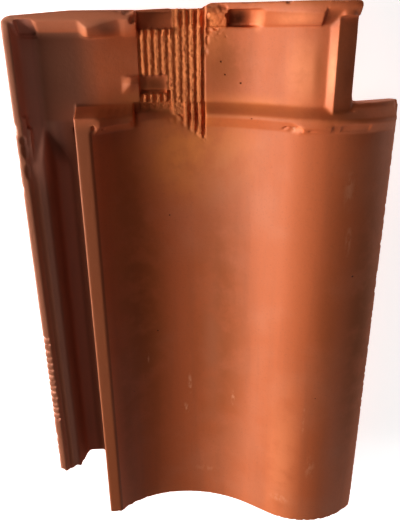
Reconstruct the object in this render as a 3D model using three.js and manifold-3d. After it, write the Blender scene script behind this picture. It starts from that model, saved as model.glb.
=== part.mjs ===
// Clay pantile with one roll, interlocking at the side and at the head.
// Millimetres. X runs across the roof, Y up the slope from the foot edge to the head edge,
// and Z up from the bed plane that the nibs and the tail rib stand on.
// Section heights below are measured from the lowest line of the pan's top face.

import * as THREE from 'three';
import { mergeVertices } from 'three/addons/utils/BufferGeometryUtils.js';
import Module from 'manifold-3d';

const wasm = await Module();
wasm.setup();

// ---- Driving dimensions -------------------------------------------------------------------

const TILE_LENGTH = 415;
const WALL = 11;                      // clay thickness of pan and roll
const BED_DROP = 13;                  // nibs and tail rib below the pan's underside

// Outer lip and side channel, on the left
const LIP_WIDTH = 5.7;
const LIP_HEIGHT = 12.5;
const LIP_STEP_WIDTH = 2.4;
const LEDGE_HEIGHT = 9.3;
const LEDGE_WIDTH = 9;
const LEDGE_FALL = 1.5;               // the ledge falls this much towards the channel
const CHANNEL_SIDE_WIDTH = 5.5;       // sloping side between ledge and channel floor
const CHANNEL_WIDTH = 16.4;
const CHANNEL_DEPTH = 5;              // channel floor below the pan's lowest line
const CHANNEL_WALL = 9;               // clay below the channel floor and the ledge
const LIP_WALL = 10.7;                // clay below the lip's top
const CHANNEL_OUTER_DRAFT = 4;        // the channel's outside is this much wider than its floor
const LEDGE_SOFFIT_SETBACK = 7;       // flat underside of the ledge ends this far from the ledge's right

// Side rib between channel and pan
const RIB_SIDE_WIDTH = 2;             // its battered left side
const RIB_WIDTH = 9.8;
const RIB_WALL = 17.6;                // clay between the rib's top and the hollow under it
const RIB_SOFFIT_SHARE = 0.3;         // the hollow's top lies at this share of the rib's width
const SOFFIT_SLOPE = 31;              // degrees, the steepest part of the pan's underside

// Pan and roll, as tangent arcs
const PAN_SIDE_RADIUS = 68;
const PAN_SIDE_SLOPE = 44;            // degrees, where the pan leaves the rib
const PAN_EDGE_SLOPE = 8.6;           // degrees, where the two pan arcs meet
const PAN_RADIUS = 107;
const FLANK_SLOPE = 34.8;             // degrees
const FLANK_LENGTH = 20;
const ROLL_RADIUS = 60;
const ROLL_EDGE_SLOPE = 41;           // degrees, at the right edge

// Head lap: the head rib, the inner rib and the trough between them
const HEAD_RIB_WIDTH = 14;            // from the foot of its face to the head edge
const HEAD_RIB_STEP = 5.6;            // its left half stands this much nearer to the foot
const HEAD_EDGE_STEP = 3.6;           // and the head edge there is set back this much
const HEAD_EDGE_RAKE = 3;             // the left half's edge falls this much more to its corner
const HEAD_EDGE_RAKE_WIDTH = 43;
const HEAD_RIB_INSET = 0.5;           // it starts this far from the lip's outside
const HEAD_RIB_RUN = 9.8;             // run of its face towards the foot
const HEAD_RIB_RISE = 8.5;            // above the trough floor, and never below the lip's top
const CROSS_RIB_RISE = 6;             // above the body's top face
const CROSS_RIB_FOOT = 336.5;         // where the inner rib's face starts, from the foot edge
const CROSS_RIB_RUN = 7;              // run of its face towards the foot
const CROSS_RIB_TOP = 2.5;
const CROSS_RIB_BACK_RUN = 7;
const CROSS_RIB_END_SETBACK = 2;      // it stops this far short of the roll's right edge
const RIB_SINK = 4;                   // how far ribs reach into the clay that carries them
const TROUGH_LEFT_RISE = 3;           // the trough floor beside the lip, above the pan's lowest line
const TROUGH_CORNER_START = 338;      // beside the channel the floor starts this far from the foot
const TROUGH_FALL_START = 42;         // where the floor starts to fall, from the left edge
const TROUGH_DEPTH = 2;               // the floor under the roll lies this far below the body's face
const TROUGH_DEEPENING = 30;          // width over which it gets there
const TROUGH_SOFFIT_REACH = 34;       // the pan's level underside goes on this far past the channel

// Corner cut-outs, so that four tiles can meet
const HEAD_WIDTH = 219.5;
const HEAD_SHOULDER = 355.5;          // height of the right cut-out's edge above the foot
const SHOULDER_FILLET = 6;
const CHANNEL_END = 43;               // the lip and ledge end this far from the foot
const CHANNEL_FLOOR_END = 50;
const CHANNEL_END_DRAFT = 2;          // the floor's end is this much narrower on its left
const END_FILLET = 5;
const HEAD_CORNER_FILLET = 7;
const FOOT_CORNER_FILLET = 3;

// Rib along the right side of the trough
const SIDE_RIB_START = 350;
const SIDE_RIB_SLOPE_RUN = 6;
const SIDE_RIB_WIDTH = 10.5;          // across its top, to the head's right edge
const SIDE_RIB_EDGE_FALL = 5;
const SIDE_RIB_DROP = 1;              // its top lies this much below the head rib's
const SIDE_RIB_ROUND = 2;
const SIDE_RIB_SHOULDER_ROUND = 3;

// Interlocking lugs on the faces of both ribs. Each stands proud of its rib, and its top reaches
// a share of the rib's height; both are given at its left and at its right end.
const HEAD_LUGS = [
  { left: 53, right: 75, proud: [2.2, 0.6], share: [0.72, 1] },
  { left: 127, right: 144, proud: [1.8, 1.8], share: [1, 0.9] },
  { left: 163, right: 196, proud: [2.2, 1.6], share: [0.9, 0.6] },
];
const CROSS_LUGS = [
  { left: 53, right: 78, proud: [2.6, 0.8], share: [1, 0.9] },
  { left: 188, right: 207, proud: [1.6, 0.8], share: [1, 0.85] },
];
const LUG_SPLAY = 5;                  // width of a lug's left side
const LUG_STEEPNESS = 0.8;            // run of a lug's face, as a share of the rib's
const LUG_ROOT = 0.5;                 // a lug starts this far under the floor it stands on

// Panels let into the ribs' faces: one near the inner rib's right end, one in the head's corner
const CROSS_PANEL = { left: 213, right: 233, depth: 0.7, span: [0.15, 0.85] };
const CORNER_PANEL = { left: 9, right: 20, depth: 3, span: [0.05, 1] };
const PANEL_CLEARANCE = 2;            // a panel's cutter stands this far off the slope

// Drain gaps in the two ribs and the nailing recess between them
const GAP_DEPTH = 3.2;                // gap floors below the pan's lowest line
const GAP_MOUTH = 2;                  // the inner gap opens this far in front of the rib's crest
const GAP_SKIN = 0.2;                 // and keeps this far above the pan
const HEAD_GAP = [85, 108];
const HEAD_GAP_START = 400;
const CROSS_GAP = [80, 113];
const NAIL_RECESS = [85, 103];
const NAIL_RECESS_Y = [359, 370.5];
const NAIL_BOSS_TIP = 72.6;
const NAIL_BOSS_CREST = 79;
const NAIL_BOSS_RISE = 3.4;
const NAIL_BOSS_END_RISE = 2.2;
const NAIL_BOSS_RIDGE = 0.6;          // its ridge lies at this share of the recess's length

// Saw kerfs of the strip that was ground down for a roof hook
const KERF_LEFT = 84.6;
const KERF_RIGHT = 129.1;
const KERF_COUNT = 10;
const KERF_WIDTH = 2.5;
const KERF_DEPTH = 2.3;               // kerf floors below the pan's lowest line
const KERF_END_LEFT = 361;            // where the level floors of the first and last kerf end
const KERF_END_RIGHT = 349;
const DISC_RADIUS = 57;
const DISC_SWEEP = 40;                // degrees of the disc's round that the kerf ends keep
const DISC_STEP = 8;
const FIN_RISE = 1.2;                 // what is left between kerfs stands this far up

// Underside
const NIB_WIDTH = 26;
const NIB_THICKNESS = 16;
const NIB_FACE = 364;                 // face that hangs on the batten, from the foot edge
const NIB_DRAFT = 2;
const NIB_CENTRES = [72, 160];
const TAIL_RIB_SETBACK = 5;
const TAIL_RIB_THICKNESS = 11;
const TAIL_RIB_DRAFT = 2;
const TAIL_RIB_ENDS = [64, 243];
const TAIL_RIB_DROP = 14.5;
const COVER_RIB_WIDTH = 8;
const COVER_RIB_DROP = 13;
const COVER_RIB_SETBACK = 27;         // centre of the rib under the roll, from the right edge
const COVER_RIB_HEAD_GAP = 66;
const COVER_RIB_DRAFT = 1;
const COVER_RIB_ROUND = 2;

const LIP_ROUND = 2;
const EDGE_ROUND = 1.5;
const CHANNEL_ROUND = 4;
const SOFFIT_ROUND = 5;
const ARC_STEP = 2;                   // degrees of arc for each facet
const STATION_STEP = 5;               // spacing of sections along ribs that cross the tile
const NOSE_FACETS = 6;
const FILLET_FACETS = 4;
const SHALLOW_CORNER = 2.2;           // radians; a blunter corner takes half the facets
const FILLET_ROOM = 0.48;             // a fillet takes at most this share of a side
const OVERCUT = 1;                    // cutters and joints reach this far past what they meet
const WELD = 1e-4;                    // corners this close together are one corner

// ---- Derived places -----------------------------------------------------------------------

const rad = THREE.MathUtils.degToRad;
const PAN_UNDERSIDE = -WALL;
const BED = PAN_UNDERSIDE - BED_DROP;
const CHANNEL_FLOOR = -CHANNEL_DEPTH;
const ledgeLeft = LIP_WIDTH + LIP_STEP_WIDTH;
const ledgeRight = ledgeLeft + LEDGE_WIDTH;
const channelLeft = ledgeRight + CHANNEL_SIDE_WIDTH;
const channelRight = channelLeft + CHANNEL_WIDTH;
const ribLeft = channelRight + RIB_SIDE_WIDTH;
const ribRight = ribLeft + RIB_WIDTH;

const crossRibCrest = CROSS_RIB_FOOT + CROSS_RIB_RUN;
const crossRibBack = crossRibCrest + CROSS_RIB_TOP;
const troughStart = crossRibBack + CROSS_RIB_BACK_RUN;
const groundMiddle = (KERF_LEFT + KERF_RIGHT) / 2;

// ---- The wave: pan, flank and roll ----------------------------------------------------------

// Points of the top face from the rib to the right edge, each with the slope there.
function waveLine() {
  const start = { x: ribRight, z: 0, slope: -rad(PAN_SIDE_SLOPE) };
  const points = [start];
  let at = start;
  const arc = (radius, slope) => {
    const from = at;
    const to = rad(slope);
    const steps = Math.max(2, Math.round(Math.abs(to - from.slope) / rad(ARC_STEP)));
    for (let i = 1; i <= steps; i++) {
      const s = from.slope + (to - from.slope) * i / steps;
      const x = from.x + radius * (Math.sin(s) - Math.sin(from.slope));
      const z = from.z - radius * (Math.cos(s) - Math.cos(from.slope));
      at = { x, z, slope: s };
      points.push(at);
    }
  };
  arc(PAN_SIDE_RADIUS, -PAN_EDGE_SLOPE);
  arc(PAN_RADIUS, FLANK_SLOPE);
  at = {
    x: at.x + FLANK_LENGTH * Math.cos(at.slope),
    z: at.z + FLANK_LENGTH * Math.sin(at.slope),
    slope: at.slope,
  };
  points.push(at);
  arc(-ROLL_RADIUS, -ROLL_EDGE_SLOPE);
  const pan = Math.min(...points.map((p) => p.z));
  return points.map((p) => ({ ...p, z: p.z - pan }));
}

const wave = waveLine();
const lowest = wave.reduce((a, b) => (b.z < a.z ? b : a));
const ribHeight = wave[0].z;
const edge = wave[wave.length - 1];
const noseRadius = WALL / 2;
const tileWidth = edge.x + noseRadius * (1 + Math.sin(edge.slope));

// Height of the wave's top face at x, and of its underside.
function heightOn(line, x) {
  if (x <= line[0].x) return line[0].z;
  for (let i = 1; i < line.length; i++) {
    const a = line[i - 1];
    const b = line[i];
    if (x <= b.x) return a.z + (b.z - a.z) * (x - a.x) / (b.x - a.x);
  }
  return line[line.length - 1].z;
}

const under = wave.map((p) => ({
  x: p.x + WALL * Math.sin(p.slope),
  z: p.z - WALL * Math.cos(p.slope),
  slope: p.slope,
}));

const panTop = (x) => heightOn(wave, x);
const { lerp, smoothstep } = THREE.MathUtils;

// The trough floor runs level beside the lip, falls to the pan's lowest line, and then follows
// the roll just below the body's face.
function troughFloor(x) {
  if (x < lowest.x) return TROUGH_LEFT_RISE * (1 - smoothstep(x, TROUGH_FALL_START, lowest.x));
  return panTop(x) - TROUGH_DEPTH * smoothstep(x, lowest.x, lowest.x + TROUGH_DEEPENING);
}

function crossRibTop(x) {
  const top = panTop(x) + CROSS_RIB_RISE;
  return x < lowest.x ? Math.min(ribHeight, top) : top;
}

function headRibTop(x) {
  return Math.max(LIP_HEIGHT, troughFloor(x) + HEAD_RIB_RISE);
}

// The two ribs across the tile, as what stands on their faces needs them.
const crossRibLine = {
  foot: CROSS_RIB_FOOT,
  back: crossRibCrest,
  floor: panTop,
  top: crossRibTop,
};
const rightHeadRib = {
  foot: TILE_LENGTH - HEAD_RIB_WIDTH,
  back: TILE_LENGTH - HEAD_RIB_WIDTH + HEAD_RIB_RUN,
  floor: troughFloor,
  top: headRibTop,
};
const leftHeadRib = {
  ...rightHeadRib,
  foot: rightHeadRib.foot - HEAD_RIB_STEP,
  back: rightHeadRib.back - HEAD_RIB_STEP,
};
const headRibAt = (x) => (x < groundMiddle ? leftHeadRib : rightHeadRib);

// ---- Outlines and solids --------------------------------------------------------------------

// An outline from corners [x, z, fillet]; a corner without a fillet stays sharp.
function filleted(corners) {
  const points = [];
  corners.forEach(([x, z, fillet], i) => {
    const here = new THREE.Vector2(x, z);
    if (!fillet) {
      points.push(here);
      return;
    }
    const previous = corners[(i + corners.length - 1) % corners.length];
    const next = corners[(i + 1) % corners.length];
    const back = new THREE.Vector2(previous[0], previous[1]).sub(here);
    const ahead = new THREE.Vector2(next[0], next[1]).sub(here);
    const corner = Math.acos(back.clone().normalize().dot(ahead.clone().normalize()));
    const room = FILLET_ROOM * Math.min(back.length(), ahead.length());
    const reach = Math.min(room, fillet / Math.tan(corner / 2));
    const a = here.clone().addScaledVector(back.normalize(), reach);
    const b = here.clone().addScaledVector(ahead.normalize(), reach);
    const curve = new THREE.QuadraticBezierCurve(a, here, b);
    points.push(...curve.getPoints(corner < SHALLOW_CORNER ? FILLET_FACETS : FILLET_FACETS / 2));
  });
  return points;
}

function solidFrom(geometry) {
  geometry.deleteAttribute('normal');
  geometry.deleteAttribute('uv');
  const merged = mergeVertices(geometry, WELD);
  return new wasm.Manifold(new wasm.Mesh({
    numProp: 3,
    vertProperties: new Float32Array(merged.attributes.position.array),
    triVerts: new Uint32Array(merged.index.array),
  }));
}

// A section drawn in X and Z, run along Y.
function runAlongTile(points, from, to) {
  const shape = new THREE.Shape(points);
  const geometry = new THREE.ExtrudeGeometry(shape, { depth: to - from, bevelEnabled: false });
  geometry.rotateX(Math.PI / 2);
  geometry.translate(0, to, 0);
  return solidFrom(geometry);
}

// A section drawn in Y and Z, run along X.
function runAcrossTile(points, from, to) {
  const shape = new THREE.Shape(points);
  const geometry = new THREE.ExtrudeGeometry(shape, { depth: to - from, bevelEnabled: false });
  geometry.rotateY(Math.PI / 2);
  geometry.rotateX(Math.PI / 2);
  geometry.translate(from, 0, 0);
  return solidFrom(geometry);
}

// An outline in plan, run up from one height to another.
function runUp(points, from, to) {
  const shape = new THREE.Shape(points);
  const geometry = new THREE.ExtrudeGeometry(shape, { depth: to - from, bevelEnabled: false });
  geometry.translate(0, 0, from);
  return solidFrom(geometry);
}

// A skin over rings of points, closed by a fan at each end. Each ring is convex.
function loft(rings) {
  const size = rings[0].length;
  const position = rings.flat().flatMap((p) => [p.x, p.y, p.z]);
  const index = [];
  for (let r = 0; r + 1 < rings.length; r++) {
    for (let i = 0; i < size; i++) {
      const a = r * size + i;
      const b = r * size + (i + 1) % size;
      index.push(a, b, b + size, a, b + size, a + size);
    }
  }
  const last = (rings.length - 1) * size;
  for (let i = 1; i + 1 < size; i++) {
    index.push(0, i + 1, i, last, last + i, last + i + 1);
  }
  const geometry = new THREE.BufferGeometry();
  geometry.setAttribute('position', new THREE.Float32BufferAttribute(position, 3));
  geometry.setIndex(index);
  const solid = solidFrom(geometry);
  return solid.volume() < 0 ? solidFrom(turnedInsideOut(geometry)) : solid;
}

function turnedInsideOut(geometry) {
  const order = Array.from(geometry.index.array);
  for (let i = 0; i < order.length; i += 3) [order[i], order[i + 1]] = [order[i + 1], order[i]];
  geometry.setIndex(order);
  return geometry;
}

function stations(from, to) {
  const count = Math.max(1, Math.ceil((to - from) / STATION_STEP));
  return Array.from({ length: count + 1 }, (_, i) => from + (to - from) * i / count);
}

// A rib across the tile: section(x) gives its corners [y, z] at x.
function crossRib(from, to, section) {
  return loft(stations(from, to).map((x) => section(x).map(([y, z]) => new THREE.Vector3(x, y, z))));
}

// ---- Sections -------------------------------------------------------------------------------

const lip = [
  [0, LIP_HEIGHT, LIP_ROUND],
  [LIP_WIDTH, LIP_HEIGHT, EDGE_ROUND],
];

const ledgeAndChannel = [
  [ledgeLeft, LEDGE_HEIGHT, EDGE_ROUND],
  [ledgeRight, LEDGE_HEIGHT - LEDGE_FALL, CHANNEL_ROUND],
  [channelLeft, CHANNEL_FLOOR, CHANNEL_ROUND],
  [channelRight, CHANNEL_FLOOR, CHANNEL_ROUND],
];

// Underside of the channel, from its right side to the outer lip, below the ledge or the trough.
const channelSoffit = [
  [channelRight, CHANNEL_FLOOR - CHANNEL_WALL, CHANNEL_ROUND],
  [channelLeft - CHANNEL_OUTER_DRAFT, CHANNEL_FLOOR - CHANNEL_WALL, SOFFIT_ROUND],
];
const ledgeSoffit = [
  [ledgeRight - LEDGE_SOFFIT_SETBACK, LEDGE_HEIGHT - LEDGE_FALL - CHANNEL_WALL, CHANNEL_ROUND],
  [0, LIP_HEIGHT - LIP_WALL, LIP_ROUND],
];
const cornerSoffit = [
  [LIP_WIDTH, TROUGH_LEFT_RISE - CHANNEL_WALL, CHANNEL_ROUND],
  [0, LIP_HEIGHT - LIP_WALL, LIP_ROUND],
];

// Rounded right edge of the roll, from top face to underside.
function nose() {
  const centre = {
    x: edge.x + noseRadius * Math.sin(edge.slope),
    z: edge.z - noseRadius * Math.cos(edge.slope),
  };
  return Array.from({ length: NOSE_FACETS - 1 }, (_, i) => {
    const angle = Math.PI / 2 + edge.slope - Math.PI * (i + 1) / NOSE_FACETS;
    return [centre.x + noseRadius * Math.cos(angle), centre.z + noseRadius * Math.sin(angle)];
  });
}

function bodySection() {
  const panUnder = under.filter((p) => p.slope >= -rad(SOFFIT_SLOPE)).reverse();
  return filleted([
    ...lip,
    ...ledgeAndChannel,
    [ribLeft, ribHeight, EDGE_ROUND],
    [wave[0].x, wave[0].z, EDGE_ROUND],
    ...wave.slice(1).map((p) => [p.x, p.z]),
    ...nose(),
    ...panUnder.map((p) => [p.x, p.z]),
    [ribRight - RIB_WIDTH * RIB_SOFFIT_SHARE, ribHeight - RIB_WALL, SOFFIT_ROUND],
    ...channelSoffit,
    ...ledgeSoffit,
  ]);
}

function headSection() {
  const floorLine = [
    ...stations(TROUGH_FALL_START, lowest.x),
    ...wave.map((p) => p.x).filter((x) => x > lowest.x),
  ];
  const panUnder = under.filter((p) => p.slope >= 0).reverse();
  return filleted([
    ...lip,
    [ledgeLeft, TROUGH_LEFT_RISE, CHANNEL_ROUND],
    ...floorLine.map((x) => [x, troughFloor(x)]),
    ...nose(),
    ...panUnder.map((p) => [p.x, p.z]),
    [channelRight + TROUGH_SOFFIT_REACH, PAN_UNDERSIDE, SOFFIT_ROUND],
    ...channelSoffit,
    ...cornerSoffit,
  ]);
}

// ---- Ribs of the head lap -------------------------------------------------------------------

function innerCrossRib() {
  return crossRib(ribLeft, edge.x - CROSS_RIB_END_SETBACK, (x) => {
    const top = crossRibTop(x);
    const base = panTop(x);
    const floor = Math.min(base, troughFloor(x));
    return [
      [CROSS_RIB_FOOT, base],
      [crossRibCrest, top],
      [crossRibBack, top],
      [troughStart, floor],
      [troughStart, floor - RIB_SINK],
      [CROSS_RIB_FOOT, base - RIB_SINK],
    ];
  });
}

// One half of the head rib. The halves meet in the ground strip, which takes them away there.
function headRib(rib, from, to) {
  return crossRib(from, to, (x) => {
    const floor = rib.floor(x);
    const top = rib.top(x);
    return [
      [rib.foot, floor],
      [rib.back, top],
      [TILE_LENGTH, top],
      [TILE_LENGTH, floor - RIB_SINK],
      [rib.foot, floor - RIB_SINK],
    ];
  });
}

// One lug: a steep face in front of the rib's slope, with a flat top and a splayed left side.
function lug(rib, { left, right, proud, share }) {
  const slopeRun = rib.back - rib.foot;
  const section = (x, out, part) => {
    const floor = rib.floor(x);
    const rise = (rib.top(x) - floor) * part;
    const run = slopeRun * part * LUG_STEEPNESS;
    return [
      [rib.foot - out, floor - LUG_ROOT],
      [rib.foot - out + run, floor + rise],
      [rib.back + OVERCUT, floor + rise],
      [rib.back + OVERCUT, floor - RIB_SINK],
      [rib.foot - out, floor - RIB_SINK],
    ].map(([y, z]) => new THREE.Vector3(x, y, z));
  };
  const flush = (part) => -slopeRun * part * (1 - LUG_STEEPNESS);
  const between = stations(left, right).map((x) => {
    const along = (x - left) / (right - left);
    return section(x, lerp(...proud, along), lerp(...share, along));
  });
  return loft([section(left - LUG_SPLAY, flush(share[0]), share[0]), ...between]);
}

// What a panel takes out of a rib's face.
function panel(rib, { left, right, depth, span }) {
  return crossRib(left, right, (x) => {
    const floor = rib.floor(x);
    const rise = rib.top(x) - floor;
    const foot = new THREE.Vector2(rib.foot, floor);
    const slope = new THREE.Vector2(rib.back - rib.foot, rise);
    const inward = new THREE.Vector2(slope.y, -slope.x).normalize();
    const at = (part, down) => {
      return foot.clone().addScaledVector(slope, part).addScaledVector(inward, down).toArray();
    };
    const [low, high] = span;
    return [at(low, depth), at(high, depth), at(high, -PANEL_CLEARANCE), at(low, -PANEL_CLEARANCE)];
  });
}

function sideRib() {
  const top = (x) => troughFloor(x) + HEAD_RIB_RISE - SIDE_RIB_DROP;
  const topLeft = HEAD_WIDTH - SIDE_RIB_WIDTH;
  const footLeft = topLeft - SIDE_RIB_SLOPE_RUN;
  const shoulder = HEAD_WIDTH - SIDE_RIB_EDGE_FALL;
  const outline = filleted([
    [footLeft, troughFloor(footLeft)],
    [topLeft, top(topLeft), SIDE_RIB_ROUND],
    [shoulder, top(shoulder), SIDE_RIB_SHOULDER_ROUND],
    [HEAD_WIDTH, top(HEAD_WIDTH) - SIDE_RIB_EDGE_FALL, SIDE_RIB_ROUND],
    [HEAD_WIDTH, troughFloor(HEAD_WIDTH) - RIB_SINK],
    [footLeft, troughFloor(footLeft) - RIB_SINK],
  ].reverse());
  return runAlongTile(outline, SIDE_RIB_START, TILE_LENGTH);
}

// ---- Cut-outs -------------------------------------------------------------------------------

const ABOVE = 80;
const BELOW = BED - 5;

// The tile's outline in plan, with both corner cut-outs.
function planOutline() {
  const right = tileWidth + OVERCUT;
  return filleted([
    [ribLeft - RIB_SIDE_WIDTH / 2, 0, FOOT_CORNER_FILLET],
    [right, 0, FOOT_CORNER_FILLET],
    [right, HEAD_SHOULDER, FOOT_CORNER_FILLET],
    [HEAD_WIDTH, HEAD_SHOULDER, SHOULDER_FILLET],
    [HEAD_WIDTH, TILE_LENGTH, FOOT_CORNER_FILLET],
    [KERF_RIGHT + HEAD_EDGE_STEP, TILE_LENGTH],
    [KERF_RIGHT, TILE_LENGTH - HEAD_EDGE_STEP / 2],
    [KERF_LEFT, TILE_LENGTH - HEAD_EDGE_STEP],
    [HEAD_EDGE_RAKE_WIDTH, TILE_LENGTH - HEAD_EDGE_STEP],
    [0, TILE_LENGTH - HEAD_EDGE_STEP - HEAD_EDGE_RAKE, HEAD_CORNER_FILLET],
    [0, CHANNEL_END, END_FILLET],
    [ledgeRight, CHANNEL_END, END_FILLET],
    [channelLeft + CHANNEL_END_DRAFT, CHANNEL_FLOOR_END, END_FILLET],
    [channelRight, CHANNEL_FLOOR_END, END_FILLET],
  ]);
}

// Everything above the trough floor plus a rise, over a stretch of the tile.
function clearance([left, right], from, to, rise) {
  return crossRib(left, right, (x) => [
    [from, rise(x)],
    [to, rise(x)],
    [to, ABOVE],
    [from, ABOVE],
  ]);
}

// The corner of the trough, between the lip and the side rib: level ground in place of the
// ledge and the channel.
function cornerBlock(from, to) {
  const outline = [
    [ledgeLeft, from],
    [channelRight, from],
    [channelRight, to],
    [ledgeLeft, to],
  ].map(([x, z]) => new THREE.Vector2(x, z));
  return runAlongTile(outline, TROUGH_CORNER_START, crossRibBack);
}

function drainGaps() {
  const floor = () => -GAP_DEPTH;
  return [
    clearance(HEAD_GAP, HEAD_GAP_START, TILE_LENGTH + OVERCUT, floor),
    clearance(NAIL_RECESS, NAIL_RECESS_Y[0], NAIL_RECESS_Y[1], floor),
    crossRib(CROSS_GAP[0], CROSS_GAP[1], (x) => [
      [crossRibCrest - GAP_MOUTH, troughFloor(x) + GAP_SKIN],
      [crossRibBack, Math.min(troughFloor(x), -GAP_DEPTH)],
      [troughStart, Math.min(troughFloor(x), -GAP_DEPTH)],
      [troughStart, ABOVE],
      [CROSS_RIB_FOOT - OVERCUT, ABOVE],
      [CROSS_RIB_FOOT - OVERCUT, panTop(x) + GAP_SKIN],
    ]),
  ];
}

// A low boss beside the nailing recess, rising from its tip on the left.
function nailBoss() {
  const [near, far] = NAIL_RECESS_Y;
  const ridge = lerp(near, far, NAIL_BOSS_RIDGE);
  const ring = (x, rise) => {
    const floor = troughFloor(x);
    return [
      [near, floor], [ridge, floor + rise], [far, floor + rise / 2],
      [far, floor - RIB_SINK], [near, floor - RIB_SINK],
    ].map(([y, z]) => new THREE.Vector3(x, y, z));
  };
  return loft([
    ring(NAIL_BOSS_TIP, 0),
    ring(NAIL_BOSS_CREST, NAIL_BOSS_RISE),
    ring(KERF_LEFT, NAIL_BOSS_END_RISE),
  ]);
}

// One kerf: a level cut from beyond the head edge, ending in the disc's round.
function kerf(left, end) {
  const floor = -KERF_DEPTH;
  const points = [
    [TILE_LENGTH + OVERCUT, ABOVE],
    [TILE_LENGTH + OVERCUT, floor],
    [end, floor],
  ];
  for (let a = DISC_STEP; a <= DISC_SWEEP; a += DISC_STEP) {
    const angle = rad(a);
    points.push([end - DISC_RADIUS * Math.sin(angle), floor + DISC_RADIUS * (1 - Math.cos(angle))]);
  }
  points.push([end - DISC_RADIUS * Math.sin(rad(DISC_SWEEP)), ABOVE]);
  const outline = points.map(([y, z]) => new THREE.Vector2(y, z));
  return runAcrossTile(outline, left, left + KERF_WIDTH);
}

function kerfs() {
  const pitch = (KERF_RIGHT - KERF_LEFT - KERF_WIDTH) / (KERF_COUNT - 1);
  return Array.from({ length: KERF_COUNT }, (_, i) => {
    const end = lerp(KERF_END_LEFT, KERF_END_RIGHT, i / (KERF_COUNT - 1));
    return kerf(KERF_LEFT + pitch * i, end);
  });
}

function groundStrip() {
  return clearance([KERF_LEFT, KERF_RIGHT], CROSS_RIB_FOOT - OVERCUT, TILE_LENGTH + OVERCUT, (x) => {
    return troughFloor(x) + FIN_RISE;
  });
}

// ---- Underside ------------------------------------------------------------------------------

function nib(centre) {
  return crossRib(centre - NIB_WIDTH / 2, centre + NIB_WIDTH / 2, (x) => {
    const root = (x < lowest.x ? PAN_UNDERSIDE : heightOn(under, x)) + RIB_SINK;
    return [
      [NIB_FACE, BED],
      [NIB_FACE + NIB_THICKNESS - NIB_DRAFT, BED],
      [NIB_FACE + NIB_THICKNESS, BED + NIB_DRAFT],
      [NIB_FACE + NIB_THICKNESS, root],
      [NIB_FACE, root],
    ];
  });
}

function tailRib() {
  const [left, right] = TAIL_RIB_ENDS;
  return crossRib(left, right, (x) => {
    const base = heightOn(under, x);
    const foot = Math.max(BED, base - TAIL_RIB_DROP);
    return [
      [TAIL_RIB_SETBACK, base + RIB_SINK],
      [TAIL_RIB_SETBACK, foot],
      [TAIL_RIB_SETBACK + TAIL_RIB_THICKNESS - TAIL_RIB_DRAFT, foot],
      [TAIL_RIB_SETBACK + TAIL_RIB_THICKNESS, base + RIB_SINK],
    ];
  });
}

function coverRib() {
  const centre = edge.x - COVER_RIB_SETBACK;
  const root = heightOn(under, centre);
  const half = COVER_RIB_WIDTH / 2;
  const outline = filleted([
    [centre - half, root + RIB_SINK],
    [centre + half, root + RIB_SINK],
    [centre + half - COVER_RIB_DRAFT, root - COVER_RIB_DROP, COVER_RIB_ROUND],
    [centre - half + COVER_RIB_DRAFT, root - COVER_RIB_DROP, COVER_RIB_ROUND],
  ].reverse());
  return runAlongTile(outline, TAIL_RIB_SETBACK, HEAD_SHOULDER - COVER_RIB_HEAD_GAP);
}

// ---- The tile -------------------------------------------------------------------------------

function tile() {
  const { Manifold } = wasm;
  const body = runAlongTile(bodySection(), 0, crossRibBack);
  const head = runAlongTile(headSection(), crossRibBack - OVERCUT, TILE_LENGTH);
  const lugs = [
    ...HEAD_LUGS.map((l) => lug(headRibAt(l.left), l)),
    ...CROSS_LUGS.map((l) => lug(crossRibLine, l)),
  ];
  const headRibs = [
    headRib(leftHeadRib, HEAD_RIB_INSET, groundMiddle),
    headRib(rightHeadRib, groundMiddle - OVERCUT, HEAD_WIDTH),
  ];
  const ribs = [innerCrossRib(), ...headRibs, sideRib(), ...lugs];
  const panels = [panel(leftHeadRib, CORNER_PANEL), panel(crossRibLine, CROSS_PANEL)];
  const cornerGround = cornerBlock(CHANNEL_FLOOR - CHANNEL_WALL / 2, TROUGH_LEFT_RISE);
  const cornerCut = cornerBlock(TROUGH_LEFT_RISE, ABOVE);
  const shaped = Manifold.union([body, head, cornerGround, ...ribs])
    .intersect(runUp(planOutline(), BELOW, ABOVE))
    .subtract(Manifold.union([cornerCut, groundStrip(), ...drainGaps(), ...panels]))
    .add(nailBoss())
    .subtract(Manifold.union(kerfs()));
  return Manifold.union([shaped, ...NIB_CENTRES.map(nib), tailRib(), coverRib()]);
}

function geometryFrom(solid) {
  const mesh = solid.getMesh();
  const geometry = new THREE.BufferGeometry();
  geometry.setAttribute('position', new THREE.Float32BufferAttribute(mesh.vertProperties, 3));
  geometry.setIndex(Array.from(mesh.triVerts));
  geometry.computeVertexNormals();
  return geometry;
}

const clay = new THREE.MeshStandardMaterial({ color: 0xb0623e, roughness: 0.82, metalness: 0 });
const roofTile = new THREE.Mesh(geometryFrom(tile()), clay);
roofTile.name = 'roof_tile';
const box = new THREE.Box3().setFromObject(roofTile);
roofTile.position.set(-(box.min.x + box.max.x) / 2, -(box.min.y + box.max.y) / 2, -box.min.z);

const part = new THREE.Group();
part.add(roofTile);

export default part;
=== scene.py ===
import math
import random

import bpy
import numpy as np
from mathutils import Euler, Matrix, Vector


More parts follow.
